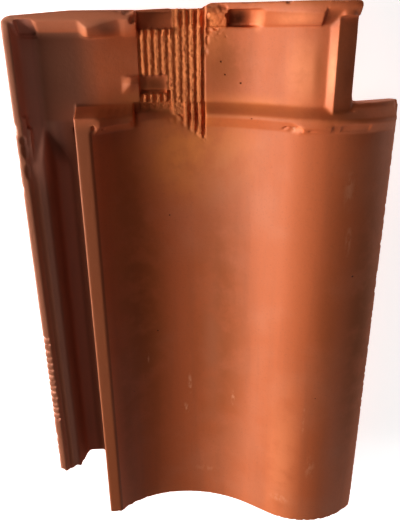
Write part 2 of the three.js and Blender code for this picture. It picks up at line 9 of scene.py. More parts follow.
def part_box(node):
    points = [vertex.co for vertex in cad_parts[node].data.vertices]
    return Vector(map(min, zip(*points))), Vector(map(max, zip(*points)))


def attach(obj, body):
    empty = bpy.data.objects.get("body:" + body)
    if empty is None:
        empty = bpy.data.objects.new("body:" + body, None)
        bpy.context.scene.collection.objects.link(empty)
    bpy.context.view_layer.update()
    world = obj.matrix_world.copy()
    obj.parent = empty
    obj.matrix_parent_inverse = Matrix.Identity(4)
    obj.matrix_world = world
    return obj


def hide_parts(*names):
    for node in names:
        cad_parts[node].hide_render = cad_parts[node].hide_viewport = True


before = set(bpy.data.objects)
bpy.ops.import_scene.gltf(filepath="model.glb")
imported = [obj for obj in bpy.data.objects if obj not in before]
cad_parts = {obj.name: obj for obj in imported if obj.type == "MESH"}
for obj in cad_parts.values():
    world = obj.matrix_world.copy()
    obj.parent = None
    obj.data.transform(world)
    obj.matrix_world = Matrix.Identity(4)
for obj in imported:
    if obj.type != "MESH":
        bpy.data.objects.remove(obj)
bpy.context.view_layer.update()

bl_info = {
    "name": "Clay roof tile",
    "version": (1, 0, 0),
    "blender": (4, 5, 0),
    "location": "View3D > Sidebar > Roof tile",
    "description": "Gives a fired clay pantile its worn edges, saw marks and finish",
    "category": "Object",
}

LOW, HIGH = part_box("roof_tile")
MM = 0.001
PAN_LINE = 24  # the pan's lowest line above the bed plane, in mm

# All lengths below are in mm: x across from the lip, y up from the foot, z above the pan's lowest line.
LENGTH = (HIGH.y - LOW.y) / MM
HEAD_LAP = 336.5
CHANNEL_FLOOR, TROUGH_FLOOR = -5.0, 2.8

# The ground strip at the head, the crests of its fins, and the line on which its saw cuts begin
GROUND_LEFT, GROUND_RIGHT = 84.6, 129.1
FIN_LINES = (88.7, 93.2, 97.9, 102.5, 107.2, 111.9, 116.5, 121.2, 125.8)
FIN_TOP, GROOVE_FLOOR = 1.9, -0.9
SAW_START, SAW_TURN, SAW_SLANT = 348, 104, 0.85


def place(x, y, z):
    """A point from millimetres: across from the lip, up from the foot, above the pan's lowest line."""
    return Vector((LOW.x + x * MM, LOW.y + y * MM, LOW.z + (PAN_LINE + z) * MM))


# ---- Settings ------------------------------------------------------------------------------------


class ClaySettings(bpy.types.PropertyGroup):
    skin: bpy.props.FloatVectorProperty(
        name="Fired skin",
        description="Colour of the smooth fired face",
        subtype="COLOR",
        size=3,
        min=0,
        max=1,
        default=(0.60, 0.185, 0.078),
    )
    # Also painted light: mixed onto the lip and the head rib for the paler tone that light gives them.
    bloom_and_light: bpy.props.FloatVectorProperty(
        name="Pale bloom",
        description="Colour of the rubbed edges and of the chalky smudges",
        subtype="COLOR",
        size=3,
        min=0,
        max=1,
        default=(0.66, 0.30, 0.19),
    )
    fresh: bpy.props.FloatVectorProperty(
        name="Broken clay",
        description="Colour inside the saw cuts and the chips",
        subtype="COLOR",
        size=3,
        min=0,
        max=1,
        default=(0.82, 0.305, 0.125),
    )
    amber: bpy.props.FloatVectorProperty(
        name="Amber cast",
        description="Colour of the warmer patches near the head lap",
        subtype="COLOR",
        size=3,
        min=0,
        max=1,
        default=(0.84, 0.318, 0.105),
    )
    # Some pale patches are painted highlights, on the lugs' lit splays and on the side rib's lit bar.
    pale: bpy.props.FloatVectorProperty(
        name="Pale cast",
        description="Colour of the lighter patches, where the skin has fired hardest",
        subtype="COLOR",
        size=3,
        min=0,
        max=1,
        default=(0.84, 0.325, 0.160),
    )
    chalk: bpy.props.FloatVectorProperty(
        name="Chalky scuffs",
        description="Colour of the small pale smears that handling left on the skin",
        subtype="COLOR",
        size=3,
        min=0,
        max=1,
        default=(0.82, 0.46, 0.30),
    )
    # Painted shade: the side channel's darker colour stands in for the lip's shadow.
    channel_shade: bpy.props.FloatVectorProperty(
        name="Silt in the channel",
        description="Colour of what the rain has left in the side channel",
        subtype="COLOR",
        size=3,
        min=0,
        max=1,
        default=(0.35, 0.165, 0.115),
    )
    # Painted fill light: a lighter, greyer colour for the sky light in the channel's shadowed middle and in
    # the lip's shadow at the head.
    film: bpy.props.FloatVectorProperty(
        name="Dusty film",
        description="Colour of the dust in the channel's deepest part and under the lip",
        subtype="COLOR",
        size=3,
        min=0,
        max=1,
        default=(0.70, 0.335, 0.245),
    )
    # Also painted shade: on the rib's left wall, its top and its back, and in some patches.
    umber_and_shade: bpy.props.FloatVectorProperty(
        name="Umber cast",
        description="Colour of the darker brown patches and of the corners behind the ribs",
        subtype="COLOR",
        size=3,
        min=0,
        max=1,
        default=(0.40, 0.125, 0.040),
    )
    # Also painted shade: in the channel, the trough and on the rib's edge and top; the streaks and speckle
    # are real stains.
    stain_and_shade: bpy.props.FloatVectorProperty(
        name="Stain",
        description="Colour of the dark film in the channel and in streaks",
        subtype="COLOR",
        size=3,
        min=0,
        max=1,
        default=(0.300, 0.125, 0.075),
    )
    # How strong the painted shade in the channel and the trough is.
    painted_shading: bpy.props.FloatProperty(
        name="Staining",
        description="How much of the clay in the channel the film hides",
        subtype="FACTOR",
        min=0,
        max=1,
        default=1.0,
    )
    # Also painted shade: at the channel's mouth, on the rib's wall and in some patches; the pits hold real
    # dirt.
    dirt_and_shade: bpy.props.FloatVectorProperty(
        name="Dirt",
        description="Colour of the dirt in pits and corners",
        subtype="COLOR",
        size=3,
        min=0,
        max=1,
        default=(0.10, 0.028, 0.012),
    )
    roughness: bpy.props.FloatProperty(
        name="Roughness",
        description="Roughness of the fired face",
        subtype="FACTOR",
        min=0,
        max=1,
        default=0.55,
    )


class WearSettings(bpy.types.PropertyGroup):
    grid: bpy.props.FloatProperty(
        name="Grid",
        description="Edge of the cells that the worn surface is built from",
        unit="LENGTH",
        min=0.0003,
        default=0.6 * MM,
        precision=5,
    )
    waviness: bpy.props.FloatProperty(
        name="Waviness",
        description="Depth of the hollows that the mould and the drying left",
        unit="LENGTH",
        min=0,
        default=0.35 * MM,
        precision=5,
    )
    tearing: bpy.props.FloatProperty(
        name="Tearing",
        description="Depth of the torn grain in the saw cuts",
        unit="LENGTH",
        min=0,
        default=1.1 * MM,
        precision=5,
    )
    faces: bpy.props.IntProperty(
        name="Faces",
        description="Most triangles that the finished tile may have",
        min=1000,
        default=190000,
    )


class StageSettings(bpy.types.PropertyGroup):
    lens: bpy.props.FloatProperty(
        name="Lens",
        description="Focal length in millimetres on a 36 mm sensor",
        min=1,
        default=38.9,
    )
    key: bpy.props.FloatProperty(
        name="Key light",
        description="Power of the low light from the lip's side, in watts",
        min=0,
        default=16,
    )
    floor: bpy.props.FloatVectorProperty(
        name="Floor",
        description="Colour of the floor",
        subtype="COLOR",
        size=3,
        min=0,
        max=1,
        default=(0.85, 0.85, 0.85),
    )
    glow: bpy.props.FloatProperty(
        name="Floor glow",
        description="Light that the floor gives off, as a lit table does",
        min=0,
        default=0.6,
    )


# ---- Helpers for modelling -----------------------------------------------------------------------


def deselect():
    if bpy.context.mode != "OBJECT":
        bpy.ops.object.mode_set(mode="OBJECT")
    bpy.ops.object.select_all(action="DESELECT")


def choose(obj):
    deselect()
    obj.select_set(True)
    bpy.context.view_layer.objects.active = obj


def modify(obj, kind, **settings):
    """Adds a modifier with its settings and applies it."""
    modifier = obj.modifiers.new(kind.title(), kind)
    for key, value in settings.items():
        setattr(modifier, key, value)
    choose(obj)
    bpy.ops.object.modifier_apply(modifier=modifier.name)


def noise(name, size, depth):
    """A cloud texture with lumps of that size in metres."""
    texture = bpy.data.textures.new(name, "CLOUDS")
    texture.noise_scale = size
    texture.noise_depth = depth
    return texture


def zone(obj, name, weight):
    """A vertex group whose weights come from each point's place, in the tile's millimetres."""
    count = len(obj.data.vertices)
    points, normals = np.empty((count, 3), np.float32), np.empty((count, 3), np.float32)
    obj.data.vertices.foreach_get("co", points.ravel())
    obj.data.vertex_normals.foreach_get("vector", normals.ravel())
    x, y, z = ((points - np.array(LOW)) / MM).T
    levels = np.round(weight(x, y, z - PAN_LINE, normals[:, 2]), 1)  # ten steps, so few groups to fill
    group = obj.vertex_groups.new(name=name)
    for level in np.unique(levels[levels > 0]):
        group.add(np.flatnonzero(levels == level).tolist(), float(level), "REPLACE")
    return group.name


def ramp(value, start, end):
    """0 at start and 1 at end, with a smooth rise between them."""
    t = np.clip((value - start) / (end - start), 0, 1)
    return t * t * (3 - 2 * t)


def between(value, start, end, soft):
    """1 between two values and 0 outside them, with ends twice as wide as soft."""
    return ramp(value, start - soft, start + soft) * (1 - ramp(value, end - soft, end + soft))


# ---- Chips ---------------------------------------------------------------------------------------

CHIP_SEED = 7
CHIP_VOXEL = 0.35
SERRATED = (96, 176)  # the stretch of the lip that the notches cover
LIP_TOP = 12.5

# Bites out of the edges: place, half sizes across, along and down, turn in degrees, and for some the
# tilts that lay them flat on a face.
CHIPS = [
    # outer lip, below the head lap
    (-0.4, 339, 12.5, 1.8, 5.5, 4.5, 8),
    (6.4, 331, 13.4, 3.2, 4.0, 3.0, -30),
    (7.2, 323, 13.2, 3.6, 6.0, 3.4, 10),
    (-0.8, 318, 12.8, 1.6, 5.0, 3.6, 0),
    (7.4, 309, 13.2, 3.4, 6.5, 3.0, 5),
    (-0.9, 298, 12.0, 1.9, 4.2, 3.4, 12),
    (6.6, 300, 13.6, 1.8, 3.0, 1.9, 0),
    (5.8, 284, 13.4, 1.2, 4.4, 1.2, 0),
    (-0.8, 255, 12.6, 1.2, 3.4, 2.2, 0),
    (-0.8, 229, 12.6, 1.2, 4.6, 2.0, 0),
    # lower end of the lip and the ledge
    (-0.8, 81, 12.2, 2.0, 3.6, 4.0, 0),
    (-1.0, 72, 11.5, 1.6, 2.4, 4.6, 0),
    (-1.2, 60, 12.0, 1.9, 4.8, 4.2, 0),
    (1.0, 43, 11.8, 3.0, 2.6, 3.4, 20),
    (14.5, 43, 8.6, 3.4, 2.2, 3.0, -15),
    (20.0, 44, 4.0, 2.2, 2.4, 3.2, 0),
    (40.0, 51, 0.0, 1.6, 3.6, 4.0, 0),
    # foot edge
    (48.0, -0.8, 17.5, 3.2, 1.6, 3.0, 0),
    (56.5, -0.6, 15.0, 4.0, 1.7, 3.0, 10),
    (64.0, -0.9, 10.0, 4.5, 1.8, 3.4, -8),
    (73.0, -0.8, 5.5, 3.0, 1.4, 2.6, 0),
    (95.0, -1.0, 0.4, 5.0, 1.5, 2.0, 0),
    (131.0, -1.0, 3.6, 4.2, 1.5, 2.4, 0),
    (222.0, -1.0, 41.0, 4.0, 1.4, 2.4, 0),
    (247.0, -0.8, 31.5, 3.0, 1.8, 3.4, 0),
    # head edge, left of the ground strip
    (2.0, 408.8, 12.8, 4.0, 2.4, 3.0, 20),
    (66.0, 411.7, 12.9, 4.0, 1.4, 1.5, 0),
    (74.0, 411.5, 12.9, 3.0, 1.6, 1.8, 0),
    (80.5, 411.2, 12.6, 4.0, 2.2, 3.0, 15),
    (83.5, 404.5, 12.0, 3.0, 3.6, 3.4, 0),
    (84.0, 396.0, 9.5, 2.2, 3.0, 3.0, 0),
    # left border of the ground strip
    (84.0, 390.0, 3.2, 1.3, 2.6, 2.2, 10),
    (84.2, 383.0, 3.2, 0.9, 2.0, 2.0, 0),
    (83.0, 377.0, 3.2, 2.6, 2.4, 2.2, -15),
    (84.0, 371.5, 3.2, 1.6, 1.8, 2.0, 0),
    (83.2, 354.5, 3.2, 2.6, 2.6, 2.4, 20),
    (84.0, 348.0, 3.2, 1.8, 2.2, 2.4, 0),
    # broken block right of the ground strip, and the patch below it
    (133.0, 414.6, 13.2, 6.0, 2.6, 2.6, 10),
    (130.4, 405.5, 9.8, 1.4, 5.4, 2.4, 0),
    (139.5, 412.6, 13.2, 4.0, 1.4, 1.2, -20),
    (143.6, 406.0, 12.6, 1.6, 3.6, 1.6, 15),
    (131.6, 398.4, 1.6, 2.2, 2.2, 1.2, 20),
    (135.4, 399.6, 2.6, 3.0, 1.2, 1.0, -10),
    (130.6, 392.6, 1.4, 1.3, 3.0, 1.4, 0),
    (130.0, 385.2, 1.4, 1.0, 3.0, 1.2, 0),
    (137.8, 396.4, 3.4, 1.2, 0.8, 0.6, 25),
    (142.8, 394.8, 5.3, 1.6, 0.7, 0.6, -35),
    # head edge over the roll
    (177.4, 415.2, 34.6, 2.6, 1.9, 2.4, 0),
    (168.0, 415.4, 28.6, 5.0, 1.1, 2.0, 0),
    (153.0, 415.3, 19.4, 6.0, 1.3, 2.2, 0),
    (206.0, 415.4, 47.0, 4.0, 1.0, 1.4, 0),
    # inner rib over the roll
    (183.0, 337.4, 33.4, 7.5, 2.6, 1.5, 22, (0, -30)),
    (187.6, 338.6, 37.0, 3.0, 3.4, 1.9, 10, (0, -38)),
    (179.0, 338.8, 30.8, 4.5, 1.0, 1.0, 40, (0, -26)),
    (196.0, 337.6, 40.4, 4.0, 1.2, 0.9, -8, (0, -26)),
    (53.6, 339.2, 18.8, 1.2, 2.2, 1.5, 20),
    (60.0, 338.0, 15.6, 1.4, 1.2, 1.2, 0),
    (229.0, 355.8, 37.8, 2.4, 1.0, 1.8, 0),
    (226.0, 356.6, 38.4, 7.0, 1.7, 3.0, 0, (0, 12)),
    (237.0, 356.5, 35.6, 5.0, 1.5, 2.6, 0, (0, 24)),
    (255.4, 354.6, 24.6, 2.4, 2.2, 3.0, 0),
]


def rough_pebble():
    """A lumpy ball one metre in radius, the tool for every chip."""
    deselect()
    bpy.ops.mesh.primitive_ico_sphere_add(subdivisions=4, radius=1)
    pebble = bpy.context.object
    modify(pebble, "DISPLACE", texture=noise("Pebble", 0.4, 4), strength=0.75, mid_level=0.5)
    return pebble


def bite(pebble, x, y, z, across, along, down, turn, tilts=(0, 0)):
    """A copy of the pebble, sized and set over the place that it bites. Its place also decides its roll."""
    cutter = bpy.data.objects.new("Bite", pebble.data.copy())
    bpy.context.scene.collection.objects.link(cutter)
    size = Matrix.Diagonal((across * MM, along * MM, down * MM, 1))
    spin = Euler([math.radians(angle) for angle in (*tilts, turn)]).to_matrix().to_4x4()
    roll = Euler((x * 0.7, y * 0.9, z * 1.3)).to_matrix().to_4x4()
    cutter.data.transform(Matrix.Translation(place(x, y, z)) @ spin @ size @ roll)
    return cutter


def fin_bites(pebble, chance):
    """Small bites along the crests of the fins that the saw left."""
    bites = []
    for line in FIN_LINES:
        y = HEAD_LAP + 10
        while y < LENGTH - 2:
            y += chance.uniform(2.0, 6.5)
            x = line + chance.uniform(-1.2, 1.2)
            z = FIN_TOP + chance.uniform(-0.3, 0.5)
            bites.append(
                bite(
                    pebble, x, y, z,
                    chance.uniform(0.4, 1.0), chance.uniform(0.6, 2.4), chance.uniform(0.4, 1.3),
                    chance.uniform(-25, 25),
                )
            )
    return bites


def lip_serrations(pebble, chance):
    """The row of small notches along the lip, from a tool that skidded over it."""
    bites = []
    y = SERRATED[1]
    while y > SERRATED[0]:
        across = chance.uniform(4.2, 6.4)
        x = chance.uniform(0.0, 3.6)
        bites.append(bite(pebble, x, y, LIP_TOP + 0.7, across, 1.35, chance.uniform(1.7, 2.5), 10))
        bites.append(bite(pebble, -1.0, y + 1.0, LIP_TOP - 1, chance.uniform(2.0, 3.2), 1.5, 4.5, 0))
        y -= chance.uniform(4.6, 6.2)
    return bites


def edge_nicks(pebble, chance, heights):
    """Nicks along the head edge, the lip's outer edge, the cover edge and the foot edge, in that order."""
    bites = []
    head_top = LIP_TOP + 0.1
    x = 70
    while x < GROUND_RIGHT + 50:
        z = head_top if x < 130 else head_top + (x - 130) * 0.55
        if x < GROUND_LEFT or x > GROUND_RIGHT:
            edge = 411.6 if x < GROUND_LEFT else 415.2
            bites.append(bite(pebble, x, edge, z, chance.uniform(1, 2.4), 1.1, chance.uniform(0.9, 1.8), 0))
        x += chance.uniform(3, 7)
    y = 60
    while y < 400:
        size = chance.uniform(1.0, 1.7), chance.uniform(1, 3.2), chance.uniform(1, 2.4)
        bites.append(bite(pebble, -0.7, y, head_top, *size, 0))
        y += chance.uniform(5, 16)
    y = 2
    while y < 352:
        z = 26 + chance.uniform(-2, 2)
        bites.append(bite(pebble, 257.3, y, z, chance.uniform(1.0, 2.2), chance.uniform(0.8, 2.8), 3.4, 0))
        y += chance.uniform(4, 11)
    x = 190
    while x < 252:
        z = heights(x, 1)
        bites.append(bite(pebble, x, -0.6, z, chance.uniform(1, 3.0), chance.uniform(0.9, 1.9), 2.0, 0))
        x += chance.uniform(4, 9)
    return bites


def chip(tile):
    """Cuts every bite out of the tile."""
    chance = random.Random(CHIP_SEED)
    pebble = rough_pebble()
    bites = [bite(pebble, *row) for row in CHIPS]
    bites += fin_bites(pebble, chance) + lip_serrations(pebble, chance)
    bites += edge_nicks(pebble, chance, surface_heights(tile))
    bpy.data.objects.remove(pebble)
    cutter = joined(bites)
    modify(cutter, "REMESH", mode="VOXEL", voxel_size=CHIP_VOXEL * MM, adaptivity=0)
    modify(tile, "BOOLEAN", operation="DIFFERENCE", object=cutter, solver="MANIFOLD")
    bpy.data.objects.remove(cutter)


# ---- Relief of the ribs --------------------------------------------------------------------------

# Each lug or pocket on a rib's face: the lines where the face starts and ends, then how high the lug
# stands over the face (below 0 for a pocket) at places across the tile
HEAD_LEFT_FACE = (395.4, 405.2)
HEAD_RIGHT_FACE = (401.0, 410.8)
RIB_RELIEF = [
    (HEAD_LEFT_FACE, [(8.8, -1.6), (20.5, -1.4), (22.0, 0.0)]),
    (HEAD_LEFT_FACE, [(46.6, 0.0), (47.8, 0.0), (53.2, 4.8), (74.0, -0.9), (77.5, 0.0)]),
    (
        HEAD_RIGHT_FACE,
        [(130.5, 0.6), (143.2, 3.2), (144.0, -2.6), (157.8, -5.8), (165.4, 1.0), (197.6, 2.8), (198.4, 0.0)],
    ),
]
RELIEF_STEP = 3.0
RELIEF_VOXEL = 0.3
FLOOR_SPOT, TOP_SPOT = 11, 1.4  # how far before and behind a face its floor and its top are measured
EASY_FRONT, STEEP_FRONT = (0, -4.5, 4.5), (0, -0.8, 10)  # what is cleared before a face and before a pocket

# Blocks that are cut away: a corner and three edges
BROKEN_END = ((106.5, 411.9, -28), (21.8, 0, 0), (0.3, 4, 0), (0, 0, 50))
LEDGE_END = ((10.2, 314, 8.8), (9.5, 0, 0), (0, 25, -6), (0, 0, 8))
SIDE_RIB_LEFT, SIDE_RIB_START = 206.8, 350
SIDE_RIB_EDGES = ((14, 0, -3.2), (0, 56, 0), (0, 0, 8))

# The steps that lead from the channel up to the trough; shape_skin turns them into a slope
MOUTH_START, MOUTH_END, MOUTH_STEPS = 310, HEAD_LAP + 2, 7
MOUTH_LEFT, MOUTH_WIDTH = 14, 24.2


def surface_heights(tile):
    """A function that gives the height of the tile's upper surface at a place, all in mm."""
    bpy.context.view_layer.update()

    def height(x, y):
        hit, point, _, _ = tile.ray_cast(place(x, y, 100), (0, 0, -1))
        if not hit:
            raise RuntimeError(f"no surface at {x:.1f}, {y:.1f}")
        return (point.z - LOW.z) / MM - PAN_LINE

    return height


def block(corner, *edges):
    """A closed block from a corner and its three edges, in the tile's mm."""
    deselect()
    bpy.ops.mesh.primitive_cube_add(size=1)
    solid = bpy.context.object
    a, b, c = (Vector(e) * MM for e in edges)
    middle = place(*corner) + (a + b + c) / 2
    turned = Matrix((a, b, c)).transposed()
    solid.data.transform(Matrix.Translation(middle) @ turned.to_4x4())
    if turned.determinant() < 0:
        solid.data.flip_normals()
    return solid


def joined(solids):
    choose(solids[0])
    for solid in solids:
        solid.select_set(True)
    bpy.ops.object.join()
    return bpy.context.object


def relief(face, profile, height):
    """Blocks that clear a rib's face, that level its top and that add its lug, in short steps across."""
    foot, back = face
    cuts, caps, adds = [], [], []
    for (left, rise), (right, next_rise) in zip(profile, profile[1:]):
        count = max(1, round((right - left) / RELIEF_STEP))
        for i in range(count):
            x = left + (right - left) * i / count
            across = (right - left) / count
            up = rise + (next_rise - rise) * i / count
            gain = (next_rise - rise) / count
            floor, next_floor = height(x, foot - FLOOR_SPOT), height(x + across, foot - FLOOR_SPOT)
            top, next_top = height(x, back + TOP_SPOT), height(x + across, back + TOP_SPOT)
            lean = ((next_floor - floor) + (next_top - top)) / 2
            slope = (0, back - foot, top - floor)
            low, next_low = min(0.0, up), min(0.0, up + gain)
            front = EASY_FRONT if low == next_low == 0 else STEEP_FRONT
            cuts.append(block((x, foot, floor + low), (across, 0, lean + next_low - low), slope, front))
            cuts.append(block((x, foot - 5, floor), (across, 0, next_floor - floor), (0, 5.2, 0), (0, 0, 6)))
            if max(up, up + gain) > 0:
                adds.append(block((x, foot, floor + up), (across, 0, lean + gain), slope, (0, -1, -6)))
            along = (0, back - foot + 1, 0)
            caps.append(block((x, foot, top), (across, 0, next_top - top), along, (0, 0, 5)))
    return cuts, caps, adds


def reshape(tile):
    """Gives the ribs' faces the lugs and pockets that pressing left, and fills the saw cuts part way."""
    height = surface_heights(tile)
    cuts, caps, adds = [], [], []
    for face, profile in RIB_RELIEF:
        face_cuts, face_caps, face_adds = relief(face, profile, height)
        cuts += face_cuts
        caps += face_caps
        adds += face_adds
    side_rib = block((SIDE_RIB_LEFT, SIDE_RIB_START, height(SIDE_RIB_LEFT, 375)), *SIDE_RIB_EDGES)
    broken_end = block(*BROKEN_END)
    middle = (GROUND_LEFT + GROUND_RIGHT) / 2
    below = (0, 0, -2.5)
    grooves = [
        block((GROUND_LEFT - 1, 361, GROOVE_FLOOR), (middle - GROUND_LEFT + 1, 0, 0), (0, 49.5, 0), below),
        block((middle, 345, GROOVE_FLOOR), (GROUND_RIGHT - middle + 0.4, 0, 0), (0, 66, 0), below),
    ]
    ledge_end = block(*LEDGE_END)
    steps = []
    for i in range(MOUTH_STEPS):
        start = MOUTH_START + i * (MOUTH_END - MOUTH_START) / MOUTH_STEPS
        up = (i + 0.5) * (TROUGH_FLOOR - CHANNEL_FLOOR) / MOUTH_STEPS
        corner = (MOUTH_LEFT, start, CHANNEL_FLOOR - 1)
        steps.append(block(corner, (MOUTH_WIDTH, 0, 0), (0, MOUTH_END - start, 0), (0, 0, up + 1)))
    for operation, blocks in (
        ("DIFFERENCE", cuts + [side_rib, broken_end, ledge_end]),
        ("UNION", adds + grooves + steps),
        ("DIFFERENCE", caps),
    ):
        tool = joined(blocks)
        modify(tool, "REMESH", mode="VOXEL", voxel_size=RELIEF_VOXEL * MM, adaptivity=0)
        modify(tile, "BOOLEAN", operation=operation, object=tool, solver="MANIFOLD")
        bpy.data.objects.remove(tool)


# ---- The tile ------------------------------------------------------------------------------------


def merged_copy(node):
    """The node's mesh again, with the corners of its loose triangles merged."""
    tile = bpy.data.objects.new("Worn_tile", node.data.copy())
    bpy.context.scene.collection.objects.link(tile)
    tile.data.materials.clear()
    choose(tile)
    bpy.ops.object.mode_set(mode="EDIT")
    bpy.ops.mesh.select_all(action="SELECT")
    bpy.ops.mesh.remove_doubles(threshold=1e-6)
    bpy.ops.object.mode_set(mode="OBJECT")
    return tile


# Smooth hollows in the ground strip: across, then along
LOW_GAP = (79, 113)
RECESS = (85, 103), (359, 370.5)
HEAD_GAP = (85, 107), (400.5, 413)

# Passes that smooth the pan, everything but the saw cuts, and the backs of the ribs
PAN_PASSES, WORN_PASSES, SOFT_PASSES = ((60, 7, 14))


def saw_start(x):
    """Where the saw cuts begin: level at the left of the strip, and lower and lower at its right."""
    return SAW_START - np.maximum(x - SAW_TURN, 0) * SAW_SLANT


def worn_hollow(x, y):
    """The smooth hollows in the ground strip: the nailing recess and the two drain gaps."""
    start = saw_start(x)
    low_gap = between(x, *LOW_GAP, 1) * ramp(y, 334, 336) * (1 - ramp(y, start - 1, start + 1))
    recess = between(x, *RECESS[0], 1) * between(y, *RECESS[1], 1)
    head_gap = between(x, *HEAD_GAP[0], 1) * between(y, *HEAD_GAP[1], 1)
    return np.maximum.reduce([low_gap, recess, head_gap])


def in_ground_strip(x, y, z, up):
    """The saw cuts and the fins between them."""
    across = between(x, GROUND_LEFT, GROUND_RIGHT, 0.6)
    start = saw_start(x)
    return across * ramp(y, start - 2, start + 2) * ramp(z, -6, -4) * (1 - worn_hollow(x, y))


def soft_lap(x, y, z, up):
    """The hollows in the strip, and the backs of the inner rib and of the side rib's ends."""
    behind_rib = between(y, 344, 359, 3) * ramp(x, 46, 50) * (1 - in_ground_strip(x, y, z, up))
    beyond = np.maximum(ramp(y, 396, 400), 1 - ramp(y, 352, 356))
    side_rib_end = ramp(x, 201, 203) * beyond * ramp(y, 340, 344)
    rest = 0.2 * ramp(y, 334, 338) * (1 - in_ground_strip(x, y, z, up))
    return np.maximum.reduce([worn_hollow(x, y) * ramp(z, -6, -4), 0.8 * behind_rib, side_rib_end, rest])


def smooth_clay(x, y, z, up):
    """The pan and the roll below the head lap, the faces under them, and where trough and channel meet."""
    side = ramp(x, 54, 60) * (1 - ramp(x, 246, 251))
    lengthways = ramp(y, 3, 10) * (1 - ramp(y, HEAD_LAP - 12, HEAD_LAP - 5))
    pan = side * lengthways * ramp(np.abs(up), 0.4, 0.6)
    mouth = between(x, 10.6, 37.4, 0.8) * between(y, 305, 350, 4) * ramp(up, 0.1, 0.3)
    return np.maximum(pan, mouth)


def sharp_stays(x, y, z, up):
    """Everything but the saw cuts, which keep their edges."""
    return 1 - in_ground_strip(x, y, z, up)


def torn_face(x, y, z, up):
    """The saw cuts, and the broken patch beside them."""
    patch = ramp(x, 128.5, 129.5) * (1 - ramp(x, 138, 146)) * ramp(y, 388, 400) * (1 - ramp(y, 411, 413))
    cuts = in_ground_strip(x, y, z, up) * (1 - ramp(y, 411, 413.5))
    return np.maximum(cuts, 0.8 * patch * ramp(up, 0.1, 0.4))


def shape_skin(tile, wear):
    """Rebuilds the surface on an even grid, eases the facets and gives it the unevenness of clay."""
    modify(tile, "REMESH", mode="VOXEL", voxel_size=wear.grid, adaptivity=0)
    eased = zone(tile, "Smooth clay", smooth_clay)
    modify(tile, "SMOOTH", factor=0.5, iterations=PAN_PASSES, vertex_group=eased)
    worn = zone(tile, "All but saw cuts", sharp_stays)
    modify(tile, "SMOOTH", factor=0.5, iterations=WORN_PASSES, vertex_group=worn)
    soft = zone(tile, "Soft lap", soft_lap)
    modify(tile, "SMOOTH", factor=0.5, iterations=SOFT_PASSES, vertex_group=soft)
    modify(
        tile, "DISPLACE", texture=noise("Hollows", 0.045, 2), texture_coords="LOCAL",
        strength=wear.waviness, mid_level=1,
    )
    torn = zone(tile, "Torn face", torn_face)
    modify(
        tile, "DISPLACE", texture=noise("Torn grain", 0.0022, 3), texture_coords="LOCAL",
        strength=wear.tearing, mid_level=0.4, vertex_group=torn,
    )
    triangles = sum(len(p.vertices) - 2 for p in tile.data.polygons)
    if triangles > wear.faces:
        modify(tile, "DECIMATE", ratio=wear.faces / triangles, use_collapse_triangulate=True)
    for name in (eased, worn, soft, torn):
        tile.vertex_groups.remove(tile.vertex_groups[name])
    choose(tile)
    bpy.ops.object.shade_smooth()


# ---- Finish --------------------------------------------------------------------------------------


class Shade:
    """A socket of a finish. Sums and products of shades add the nodes that work them out."""

    def __init__(self, tree, socket):
        self.tree = tree
        self.socket = socket

    def add(self, kind, settings=None, inputs=None, output=0):
        """Adds a node, sets it up, then fills its sockets with values or shades."""
        node = self.tree.nodes.new(kind)
        for key, value in (settings or {}).items():
            setattr(node, key, value)
        for key, value in (inputs or {}).items():
            if isinstance(value, Shade):
                self.tree.links.new(value.socket, node.inputs[key])
            else:
                node.inputs[key].default_value = value
        return Shade(self.tree, node.outputs[output])

    def maths(self, operation, a, b):
        return self.add("ShaderNodeMath", {"operation": operation}, {0: a, 1: b})

    def __add__(self, other):
        return self.maths("ADD", self, other)

    def __radd__(self, other):
        return self.maths("ADD", other, self)

    def __sub__(self, other):
        return self.maths("SUBTRACT", self, other)

    def __rsub__(self, other):
        return self.maths("SUBTRACT", other, self)

    def __mul__(self, other):
        return self.maths("MULTIPLY", self, other)

    def __rmul__(self, other):
        return self.maths("MULTIPLY", other, self)

    def clear(self, start, end):
        """0 below start and 1 above end, with soft ends. The two may be given the other way round."""
        settings = {"interpolation_type": "SMOOTHSTEP"}
        return self.add("ShaderNodeMapRange", settings, {"Value": self, "From Min": start, "From Max": end})

    def within(self, start, end, soft):
        """1 between two values and 0 outside them, with ends twice as wide as soft."""
        return self.clear(start - soft, start + soft) * self.clear(end + soft, end - soft)

    def noise(self, size, detail, rough=0.55, stretch=(1, 1, 1)):
        """Noise with features of that size in metres, from about 0.2 to 0.8."""
        at = self.add("ShaderNodeVectorMath", {"operation": "MULTIPLY"}, {0: self, 1: stretch})
        return self.add(
            "ShaderNodeTexNoise", None,
            {"Vector": at, "Scale": 1 / size, "Detail": detail, "Roughness": rough},
        )

    def mixed(self, factor, other):
        """This colour moved by factor towards another, given as red, green and blue."""
        inputs = {0: factor, 6: self, 7: (*other, 1)}
        return self.add("ShaderNodeMix", {"data_type": "RGBA"}, inputs, output=2)

    def near(self, x, y, radius_x, radius_y):
        """1 at a place on the face and 0 beyond its radii, seen from above."""
        centre = place(x, y, 0)
        away = self.add("ShaderNodeVectorMath", {"operation": "SUBTRACT"}, {0: self, 1: tuple(centre)})
        share = (1 / (radius_x * MM), 1 / (radius_y * MM), 0)
        scaled = self.add("ShaderNodeVectorMath", {"operation": "MULTIPLY"}, {0: away, 1: share})
        length = self.add("ShaderNodeVectorMath", {"operation": "LENGTH"}, {0: scaled}, output=1)
        return length.clear(1.0, 0.0)


# Heights of the bump, in metres
FINE_RELIEF, SANDY_RELIEF, PIT_DEPTH, TORN_RELIEF = 0.00004, 0.00014, 0.0006, 0.0011

# Pits: place and radius
PITS = [
    (102.5, 271.5, 0.7),
    (89.9, 173.8, 0.8),
    (232.2, 233.9, 0.9),
    (139.9, 379.2, 0.7),
    (142.6, 371.0, 0.6),
    (152.7, 365.8, 0.8),
    (159.0, 344.0, 0.5),
    (68.0, 120.0, 0.5),
    (212.0, 130.0, 0.5),
]
